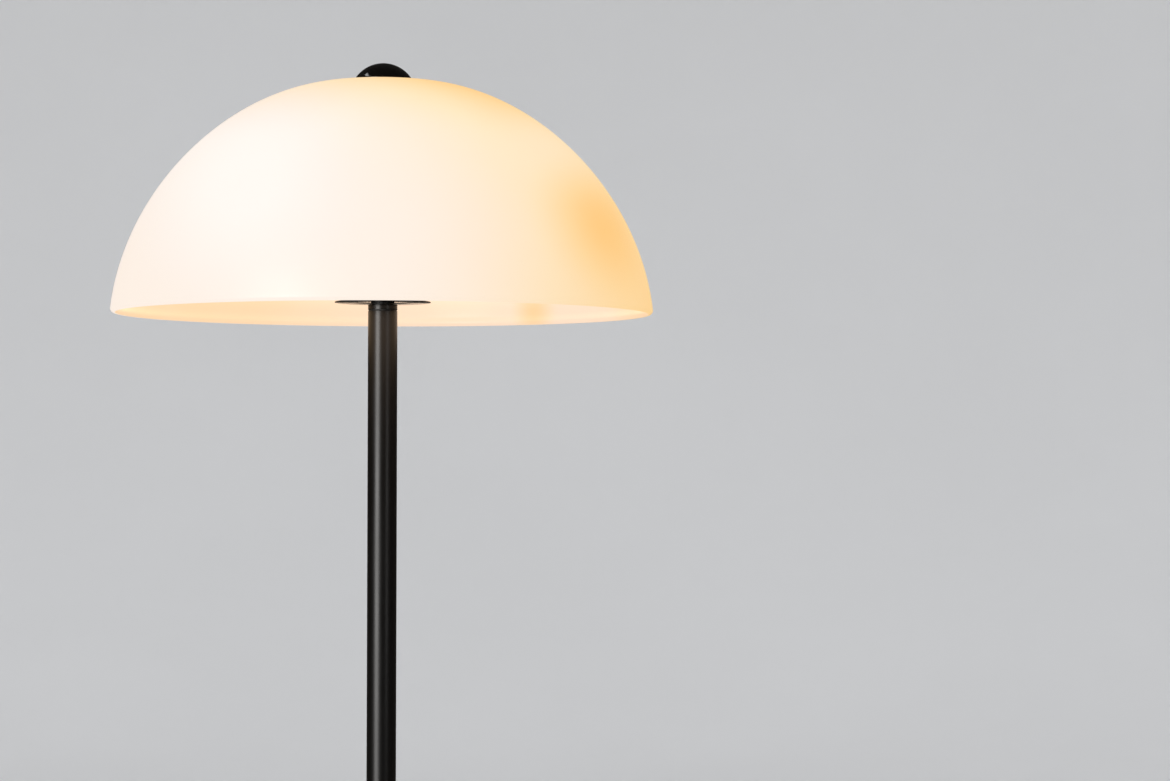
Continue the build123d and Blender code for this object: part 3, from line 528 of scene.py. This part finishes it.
SHADE_WALL = 4.5
SEAT_RADIUS = 27.6
CROWN_HANDLE = 97.0
SIDE_HANDLE = 106.4
SIDE_DRAFT = math.radians(6.6)
SHADE_HOLE = 6.5
HOLE_ROUNDING = 0.5
LIP_RADIUS = 3.4
LIP_BLEND = 6.0


def bezier(points, count):
    """Points along a cubic curve with these four control points."""
    found = []
    for t in steps_between(0.0, 1.0, count):
        weights = ((1 - t) ** 3, 3 * t * (1 - t) ** 2, 3 * t * t * (1 - t), t**3)
        found.append(tuple(sum(w * p[k] for w, p in zip(weights, points)) for k in (0, 1)))
    return found


def shade_outline():
    """The dome's section: crown and side inside and out, the hole, and the lip's bead."""
    _, low, high = extent("shade")
    radius = min(-shade_low.x, -shade_low.y, shade_high.x, shade_high.y) / MM
    rim = low + LIP_RADIUS

    def side(inset):
        shrink = 1 - inset / radius
        handle = SIDE_HANDLE * shrink
        edge = radius - inset
        return [
            (SEAT_RADIUS, high - inset),
            (SEAT_RADIUS + CROWN_HANDLE * shrink, high - inset),
            (edge - handle * math.sin(SIDE_DRAFT), rim + handle * math.cos(SIDE_DRAFT)),
            (edge, rim),
        ]

    bead = Vector((radius - LIP_RADIUS, rim))
    down_wall = Vector((-math.sin(SIDE_DRAFT), math.cos(SIDE_DRAFT)))
    inward = Vector((-math.cos(SIDE_DRAFT), -math.sin(SIDE_DRAFT)))
    start = Vector((radius - SHADE_WALL, rim)) - bead + inward * LIP_BLEND
    lean = start.dot(down_wall)
    run = math.sqrt(lean**2 - start.length_squared + (LIP_RADIUS + LIP_BLEND) ** 2) - lean
    blend_centre = bead + start + down_wall * run
    wall_touch = blend_centre - inward * LIP_BLEND
    bead_touch = math.atan2(blend_centre.y - bead.y, blend_centre.x - bead.x) % math.tau

    outside = bezier(side(0), 96)
    bead_round = [
        (bead.x + LIP_RADIUS * math.cos(angle), bead.y + LIP_RADIUS * math.sin(angle))
        for angle in steps_between(0.0, bead_touch - math.tau, 20)[1:]
    ]
    first = math.atan2(bead.y - blend_centre.y, bead.x - blend_centre.x)
    last = math.atan2(wall_touch.y - blend_centre.y, wall_touch.x - blend_centre.x)
    blend_round = [
        (blend_centre.x + LIP_BLEND * math.cos(angle), blend_centre.y + LIP_BLEND * math.sin(angle))
        for angle in steps_between(first, last, 6)[1:]
    ]
    inside = [p for p in reversed(bezier(side(SHADE_WALL), 96)) if p[1] > wall_touch.y + 1.0]
    hole = [(SHADE_HOLE, high - SHADE_WALL, HOLE_ROUNDING), (SHADE_HOLE, high, HOLE_ROUNDING)]
    seat = [(SEAT_RADIUS, high - SHADE_WALL, 0)] + hole + [(SEAT_RADIUS, high, 0)]
    hole_round = rounded(seat, 3)[1:-1]
    return outside + bead_round + blend_round + inside + hole_round


shade = dress("shade", shade_outline(), segments=256, sharp=50.0)

# ======== Seat of the shade and finial ========================================================

GASKET_SPIGOT = 6.2
GASKET_SPIGOT_HEIGHT = 3.5
GASKET_BORE = 5.2
FINIAL_BALL = 28.6
FINIAL_EDGE = 0.8
FINIAL_POCKET = 8.03
FINIAL_POCKET_HEIGHT = 11.0

tube("upper_gasket", CLEAR_BORE, 0.3)
tube("shade_support_plate", THREAD_BORE, 0.35)

gasket_radius, gasket_low, gasket_high = extent("lower_gasket")
gasket_face = gasket_high - GASKET_SPIGOT_HEIGHT
dress("lower_gasket", rounded([
    (gasket_radius, gasket_low, 0.3), (gasket_radius, gasket_face, 0.3), (GASKET_SPIGOT, gasket_face, 0.3),
    (GASKET_SPIGOT, gasket_high, 0.3), (GASKET_BORE, gasket_high, 0.2), (GASKET_BORE, gasket_low, 0.2),
]))


def finial_outline():
    """A cap of a ball over a short straight edge, with a pocket below."""
    radius, low, high = extent("finial")
    centre = high - FINIAL_BALL
    edge_angle = math.asin((low + FINIAL_EDGE - centre) / FINIAL_BALL)
    ball = [
        (FINIAL_BALL * math.cos(angle), centre + FINIAL_BALL * math.sin(angle))
        for angle in steps_between(edge_angle, math.pi / 2, 40)[:-1]
    ]
    pocket = low + FINIAL_POCKET_HEIGHT
    below = rounded([
        (0, pocket, 0), (FINIAL_POCKET, pocket, 0), (FINIAL_POCKET, low, 0.3), (radius, low, 0.25),
        (radius, low + FINIAL_EDGE, 0),
    ])[:-1]
    return below + ball + [(0, high)]


finial = dress("finial", finial_outline(), segments=160, sharp=40.0, look="polished_black")

# ======== Nuts and rod ========================================================================

ROD_NUT_FLATS = 14.0
SUPPORT_NUT_FLATS = 17.0
NUT_RINGS = (0.0, 0.25, 0.5, 0.9, 1.4)     # heights of a nut's rings above its end
NUT_CHAMFER = 0.5
CORNER_START = 0.97                        # radius of the turned corners' end, as a share of half the flats
CORNER_SLOPE = math.tan(math.radians(60))
ROD_PITCH = 1.0
ROD_THREAD_DEPTH = 0.55
ROD_THREAD_FADE = 0.8
ROD_LOWER_THREAD = 20.0
ROD_UPPER_THREAD = 32.0
RINGS_PER_TURN = 6


def hexagon(flats, low, high):
    """Radius of a hexagonal nut with its corners turned off at both ends."""

    def shape(radius, height, angle):
        if radius < flats / 2:
            return radius
        side = flats / 2 / math.cos((angle % (math.pi / 3)) - math.pi / 6)
        end = min(height - low, high - height)
        return min(side, flats / 2 * CORNER_START + end * CORNER_SLOPE)

    return shape


def nut(node, flats, bore):
    radius, low, high = extent(node)
    heights = [low + h for h in NUT_RINGS] + [high - h for h in reversed(NUT_RINGS)]
    outline = [(bore + NUT_CHAMFER, low)] + [(radius, h) for h in heights] + [(bore + NUT_CHAMFER, high)]
    outline += [(bore, high - NUT_CHAMFER), (bore, low + NUT_CHAMFER)]
    return dress(node, outline, segments=96, shape=hexagon(flats, low, high), sharp=20.0)


nut("rod_lock_nut", ROD_NUT_FLATS, THREAD_BORE)
nut("shade_support_nut", SUPPORT_NUT_FLATS, THREAD_BORE)


def thread(pitch, depth, crest, zones, fade):
    """Radius of a crest cut down by a helical groove inside zones of (start, end) heights."""

    def shape(radius, height, angle):
        if radius < crest - 1e-6:
            return radius
        zone = next((z for z in zones if z[0] <= height <= z[1]), None)
        if zone is None:
            return radius
        phase = (height / pitch - angle / math.tau) % 1.0
        groove = 0.5 - 0.5 * math.cos(math.tau * phase)
        ends = min(height - zone[0], zone[1] - height) / fade
        return radius - depth * groove * max(0.0, min(1.0, ends))

    return shape


rod_radius, rod_low, rod_high = extent("centre_rod")
rod_zones = [(rod_low, rod_low + ROD_LOWER_THREAD), (rod_high - ROD_UPPER_THREAD, rod_high)]
rod_side = []
for zone_low, zone_high in rod_zones:
    count = round((zone_high - zone_low) / ROD_PITCH * RINGS_PER_TURN)
    rod_side += [(rod_radius, h) for h in steps_between(zone_low, zone_high, count)]
rod_outline = rod_side + [(TUBE_BORE, rod_high), (TUBE_BORE, rod_low)]
rod_thread = thread(ROD_PITCH, ROD_THREAD_DEPTH, rod_radius, rod_zones, ROD_THREAD_FADE)
dress("centre_rod", rod_outline, segments=36, shape=rod_thread)

# ======== Lampholder ==========================================================================

HOLDER_WALL = 1.7
HOLDER_RIM_BORE = 16.0
HOLDER_GAP = 0.1           # between the cap's spigot and the front shell
CAP_SHOULDER = 12.0        # length of the cap's rounded back
PORT_BOSS = 9.0
PORT_DEPTH = 8.0
PORT_WALL = 3.4
SHELL_STEP = 14.0          # depth of the shell's wide back part
SHELL_BAND = 3.0           # plain bands at the shell's ends
SHELL_RIBS = 48
RIB_DEPTH = 0.45
RIBS_FROM_BACK = 4.0
RIBS_FROM_FRONT = 8.0
E27_PITCH = 3.6
SLEEVE_WALL = 0.3
SLEEVE_CREST = 13.12
SLEEVE_BACK_BORE = 10.0
SLEEVE_PLAIN = 2.0         # plain length at the sleeve's back
SLEEVE_FLOOR = 0.4
SLEEVE_DEPTH = 0.32

cap_radius, cap_start, cap_end = extent("holder_cap", HOLDER)
shell_radius, shell_start, shell_end = extent("holder_shell", HOLDER)
shoulder = cap_start + CAP_SHOULDER
spigot = cap_radius - HOLDER_WALL
cap_spigot = spigot - HOLDER_GAP
shoulder_round = []
for t in steps_between(0.0, 1.0, 14):
    angle = math.pi / 2 * t
    shoulder_round.append((PORT_BOSS + (cap_radius - PORT_BOSS) * math.sin(angle),
                           cap_start + (shoulder - cap_start) * (1 - math.cos(angle))))
cap_outline = [(THREAD_BORE, cap_start)] + shoulder_round + rounded([
    (cap_radius, shell_start, 0.3), (cap_spigot, shell_start, 0), (cap_spigot, cap_end, 0.2),
    (spigot - 2 * HOLDER_WALL, cap_end, 0.2), (spigot - 2 * HOLDER_WALL, shoulder, 0),
    (THREAD_BORE + PORT_WALL, cap_start + PORT_DEPTH, 0), (THREAD_BORE, cap_start + PORT_DEPTH, 0),
])
dress("holder_cap", cap_outline, place=HOLDER)


def shell_ribs(radius, height, angle):
    """Shallow grip ribs round the front shell."""
    ribbed = shell_start + RIBS_FROM_BACK < height < shell_end - RIBS_FROM_FRONT
    if radius < shell_radius - 0.01 or not ribbed:
        return radius
    return radius - RIB_DEPTH * (0.5 - 0.5 * math.cos(SHELL_RIBS * angle)) ** 2


shell_side = [(shell_radius, shell_start + RIBS_FROM_BACK + h) for h in (-0.1, 0.2, 1.0)]
shell_side += [(shell_radius, shell_end - RIBS_FROM_FRONT - h) for h in (1.0, 0.2, -0.1)]
shell_outline = rounded([
    (spigot, shell_start, 0.1), (shell_radius, shell_start, 0.3),
    (shell_radius, shell_start + SHELL_BAND, 0),
])
shell_outline += shell_side
shell_outline += rounded([
    (shell_radius, shell_end - SHELL_BAND, 0), (shell_radius, shell_end - HOLDER_WALL, 1.2),
    (shell_radius - HOLDER_WALL, shell_end, 0.8), (HOLDER_RIM_BORE, shell_end, 0.5),
    (HOLDER_RIM_BORE, shell_start + SHELL_STEP, 0), (spigot, shell_start + SHELL_STEP, 0),
    (spigot, shell_start, 0),
])[:-1]
dress("holder_shell", shell_outline, place=HOLDER, segments=384, shape=shell_ribs)

sleeve_radius, sleeve_start, sleeve_end = extent("screw_shell", HOLDER)


def sleeve_thread(radius, height, angle):
    """The rolled thread of the brass sleeve, which bulges inwards."""
    from_start = height - sleeve_start - SLEEVE_PLAIN
    if radius < SLEEVE_CREST or from_start < 0:
        return radius
    phase = height / E27_PITCH - angle / math.tau
    groove = 0.5 - 0.5 * math.cos(math.tau * phase)
    fade = min(1.0, from_start / 2, max(0.0, sleeve_end - 1 - height) / 2)
    return radius - SLEEVE_DEPTH * groove * max(0.0, fade)


sleeve_heights = steps_between(sleeve_start + SLEEVE_PLAIN, sleeve_end, 84)
sleeve_outline = [(SLEEVE_BACK_BORE, sleeve_start), (sleeve_radius, sleeve_start)]
sleeve_outline += [(sleeve_radius, h) for h in sleeve_heights]
sleeve_outline += [(sleeve_radius - SLEEVE_WALL, h) for h in reversed(sleeve_heights)]
sleeve_outline += [(sleeve_radius - SLEEVE_WALL, sleeve_start + SLEEVE_FLOOR)]
sleeve_outline += [(SLEEVE_BACK_BORE, sleeve_start + SLEEVE_FLOOR)]
dress("screw_shell", sleeve_outline, place=HOLDER, segments=96, shape=sleeve_thread, sharp=60.0)

# ======== Bulb ================================================================================

BULB_CAP_THREAD_DEPTH = 0.85
BULB_CAP_BACK = 10.3       # radius of the cap's back end
BULB_CAP_BORE = 11.7
BULB_CAP_FLOOR = 4.0
BULB_CAP_COLLAR = 2.0      # plain length at the cap's front
CONTACT_DOME = 1.1
INSULATOR_RIM = 1.6
HOUSING_SPIGOT = 11.6
HOUSING_NECK = 13.4
HOUSING_NECK_GAP = 0.3     # between the cap and the housing's neck
HOUSING_NECK_LENGTH = 3.0
HOUSING_LEDGE = 1.6        # depth of the ledge that the globe stands in
HOUSING_LEDGE_BORE = 19.1
HOUSING_MOUTH_BORE = 17.4
HOUSING_BORE = 10.0
GLOBE_WALL = 1.0
bulb_cap_radius, bulb_cap_start, bulb_cap_end = extent("bulb_cap", HOLDER)
cap_zone = (bulb_cap_start + 2.7, bulb_cap_end - 3.0)
cap_shape = thread(E27_PITCH, BULB_CAP_THREAD_DEPTH, bulb_cap_radius, [cap_zone], 1.5)
cap_side = [(bulb_cap_radius, h) for h in steps_between(*cap_zone, 64)]
bulb_cap_outline = [(0, bulb_cap_start), (BULB_CAP_BACK, bulb_cap_start)] + cap_side + [
    (bulb_cap_radius, bulb_cap_end - BULB_CAP_COLLAR), (bulb_cap_radius, bulb_cap_end),
    (BULB_CAP_BORE, bulb_cap_end), (BULB_CAP_BORE, bulb_cap_start + BULB_CAP_FLOOR),
    (0, bulb_cap_start + BULB_CAP_FLOOR),
]
dress("bulb_cap", bulb_cap_outline, place=HOLDER, segments=96, shape=cap_shape, sharp=40.0)

contact_radius, contact_start, contact_end = extent("bulb_centre_contact", HOLDER)
contact_round = [(contact_radius * math.sin(a), contact_start + CONTACT_DOME * (1 - math.cos(a)))
                 for a in steps_between(0.0, math.pi / 2, 8)]
dress("bulb_centre_contact", [(0, contact_start)] + contact_round[1:] + [
    (contact_radius, contact_end), (0, contact_end)], place=HOLDER, segments=64)

insulator_radius, insulator_start, insulator_end = extent("bulb_insulator", HOLDER)
dress("bulb_insulator", rounded([
    (0, insulator_start, 0), (contact_radius, insulator_start, 0.3),
    (contact_radius + INSULATOR_RIM, insulator_start + 0.9, 1.2),
    (insulator_radius, insulator_end, 0.2), (0, insulator_end, 0),
]), place=HOLDER, segments=96)

housing_radius, housing_start, housing_end = extent("bulb_housing", HOLDER)
globe_radius, globe_start, globe_end = extent("bulb_globe", HOLDER)
neck_start = bulb_cap_end + HOUSING_NECK_GAP
neck_end = neck_start + HOUSING_NECK_LENGTH
ledge = housing_end - HOUSING_LEDGE
flare = bezier([(HOUSING_NECK, neck_end), (HOUSING_NECK, neck_end + 12),
                (housing_radius - 7.5, housing_end - 16), (housing_radius, housing_end)], 24)
neck = rounded([
    (HOUSING_SPIGOT, neck_start, 0), (HOUSING_NECK, neck_start, 0.3), (HOUSING_NECK, neck_end, 0),
])
housing_outline = [(HOUSING_SPIGOT, housing_start)] + neck[:-1] + flare + [
    (HOUSING_LEDGE_BORE, housing_end), (HOUSING_LEDGE_BORE, ledge), (HOUSING_MOUTH_BORE, ledge),
    (HOUSING_BORE, neck_start + 6), (HOUSING_BORE, housing_start),
]
dress("bulb_housing", housing_outline, place=HOLDER, segments=128, sharp=35.0)

globe_centre = globe_end - globe_radius


def globe_side(radius):
    """The globe's arc at a radius, from its seat up to just before its apex."""
    seat_angle = -math.asin((globe_centre - globe_start) / radius)
    return [(radius * math.cos(a), globe_centre + radius * math.sin(a))
            for a in steps_between(seat_angle, math.pi / 2, 64)[:-1]]


inner_radius = globe_radius - GLOBE_WALL
globe_outline = [(0, globe_end - GLOBE_WALL)] + globe_side(inner_radius)[::-1]
globe_outline += globe_side(globe_radius) + [(0, globe_end)]
dress("bulb_globe", globe_outline, place=HOLDER, segments=128)

# ======== Lead inlet ==========================================================================

INLET_BORE = 3.3
INLET_BARREL = 4.9
INLET_SNAP = 5.9           # radius of the snap ring inside the cover
INLET_SNAP_LENGTH = 1.5
INLET_SNAP_END = 148.5     # its distance from the lamp's axis
INLET_FLANGE = 1.8
inlet_low, inlet_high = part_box("cord_inlet_bushing")
INLET = Matrix.Translation((0, 0, (inlet_low.z + inlet_high.z) / 2)) @ Matrix.Rotation(-math.pi / 2, 4, "X")
flange_radius, inlet_start, inlet_end = extent("cord_inlet_bushing", INLET)
snap_start = INLET_SNAP_END - INLET_SNAP_LENGTH
flange_start = inlet_end - INLET_FLANGE
dress("cord_inlet_bushing", rounded([
    (INLET_BORE, inlet_start, 0.3), (INLET_BARREL, inlet_start, 0.5), (INLET_BARREL, snap_start, 0.2),
    (INLET_SNAP, snap_start, 0.3), (INLET_SNAP, INLET_SNAP_END, 0.3), (INLET_BARREL, INLET_SNAP_END, 0.1),
    (INLET_BARREL, flange_start, 0.1), (flange_radius, flange_start, 0.4), (flange_radius, inlet_end, 0.9),
    (INLET_BORE, inlet_end, 0.8),
]), place=INLET, segments=64)

# ======== Studio ==============================================================================

STUDIO_RADIUS = 14.0
STUDIO_COVE = 4.0
STUDIO_HEIGHT = 9.0
FLOOR_RINGS = (0.0, 1.5, 4.0, 7.0)
STUDIO_SEGMENTS = 96
STUDIO_TINTS = ((0.80, 0.795, 0.78, 1), (0.785, 0.78, 0.765, 1))
SURROUND_RADIUS = 12.0
SURROUND_LOW, SURROUND_HIGH = (0.075, 0.066, 0.056, 1), (0.045, 0.042, 0.040, 1)
SURROUND_SHIFT = (-4.0, 8.0)          # heights between which the low tone turns into the high one

# Lights: (place, what it points at, width, height, watts, colour)
KEY = ((-2.0, -2.7, 1.35), (0, 0, 1.2), 1.7, 2.6, 150, (1.0, 0.985, 0.97))
FILL = ((2.6, -2.9, 1.5), (0, 0, 1.1), 0.9, 1.8, 10, (1, 1, 1))
TOP = ((0.6, 0.8, 5.5), (0, 0, 0), 4.5, 4.5, 60, (1, 1, 1))
GLINT = ((-1.60, 0.16, 3.54), (0, 0, 1.5), 1.5, 0.26, 5.5, (1, 1, 1))
AIR_COLOUR = (0.93, 0.95, 1.0, 1)
AIR_STRENGTH = 0.97


def studio_material():
    material, tree, shader, position = new_material("studio_floor")
    patches = ramp(tree, noise(tree, position, 0.8, 4.0), 0.3, 0.7)
    tint = blend(tree, patches, *STUDIO_TINTS)
    tree.links.new(tint, shader.inputs["Base Color"])
    shader.inputs["Roughness"].default_value = 0.75
    return material


def studio():
    """A round floor that curves up into a pale wall, open above."""
    section = [(radius, 0.0) for radius in FLOOR_RINGS]
    for angle in steps_between(-math.pi / 2, 0.0, 24):
        section.append((STUDIO_RADIUS - STUDIO_COVE + STUDIO_COVE * math.cos(angle),
                        STUDIO_COVE + STUDIO_COVE * math.sin(angle)))
    section.append((STUDIO_RADIUS, STUDIO_HEIGHT))
    count = STUDIO_SEGMENTS
    vertices, faces = [], []
    for radius, height in section:
        for index in range(count):
            angle = math.tau * index / count
            vertices.append((radius * math.cos(angle), radius * math.sin(angle), height))
    for row in range(len(section) - 1):
        for index in range(count):
            after = (index + 1) % count
            faces.append([row * count + index, row * count + after,
                          (row + 1) * count + after, (row + 1) * count + index])
    mesh = bpy.data.meshes.new("studio")
    mesh.from_pydata(vertices, [], faces)
    mesh.validate()
    mesh.shade_smooth()
    mesh.materials.append(studio_material())
    piece = bpy.data.objects.new("studio", mesh)
    bpy.context.scene.collection.objects.link(piece)
    piece.visible_glossy = False


studio()


def surround():
    """The dim room that glossy surfaces mirror; nothing else sees it."""
    radius = SURROUND_RADIUS / MM
    turns = [(radius * math.cos(a), radius * math.sin(a))
             for a in steps_between(-math.pi / 2, math.pi / 2, 24)[1:-1]]
    piece = lathe("surround", [(0, -radius)] + turns + [(0, radius)], segments=48)
    material, tree, shader, position = new_material("surround")
    height = add(tree, "SeparateXYZ", {0: position}).outputs["Z"]
    tone = blend(tree, ramp(tree, height, *SURROUND_SHIFT), SURROUND_LOW, SURROUND_HIGH)
    tree.links.new(tone, shader.inputs["Emission Color"])
    shader.inputs["Emission Strength"].default_value = 1.0
    shader.inputs["Base Color"].default_value = (0, 0, 0, 1)
    shader.inputs["Specular IOR Level"].default_value = 0.0
    material.cycles.emission_sampling = "NONE"
    piece.data.materials.append(material)
    piece.visible_camera = False
    piece.visible_diffuse = False
    piece.visible_transmission = False
    piece.visible_shadow = False


surround()


def soft_light(name, place, target, width, height, power, colour):
    data = bpy.data.lights.new(name, "AREA")
    data.shape = "RECTANGLE"
    data.size = width
    data.size_y = height
    data.energy = power
    data.color = colour
    light = bpy.data.objects.new(name, data)
    aim = Vector(target) - Vector(place)
    light.matrix_world = Matrix.Translation(place) @ aim.to_track_quat("-Z", "Y").to_matrix().to_4x4()
    light.visible_camera = False
    bpy.context.scene.collection.objects.link(light)
    return light


def link_light(light, role, piece, state):
    """Says that a light is for one piece only (INCLUDE) or for all but that piece (EXCLUDE).

    role is receiver, for what the light falls on, or blocker, for what casts its shadow.
    """
    group = bpy.data.collections.new(light.name + "_" + role)
    group.objects.link(piece)
    setattr(light.light_linking, role + "_collection", group)
    group.collection_objects[0].light_linking.link_state = state


key = soft_light("key", *KEY)
fill = soft_light("fill", *FILL)
top = soft_light("top", *TOP)
glint = soft_light("glint", *GLINT)

# Key, fill and glint only draw highlights. Key and fill also reach the pole's top past the shade,
# and the finial mirrors the glint in place of the top light
for light in (key, fill, glint):
    light.visible_diffuse = False
for light in (key, fill):
    link_light(light, "blocker", shade, "EXCLUDE")
link_light(top, "receiver", finial, "EXCLUDE")
link_light(glint, "receiver", finial, "INCLUDE")

world = bpy.data.worlds.new("studio_air")
bpy.context.scene.world = world
world.use_nodes = True
air = world.node_tree.nodes["Background"].inputs
air["Color"].default_value = AIR_COLOUR
air["Strength"].default_value = AIR_STRENGTH
world.cycles_visibility.glossy = False
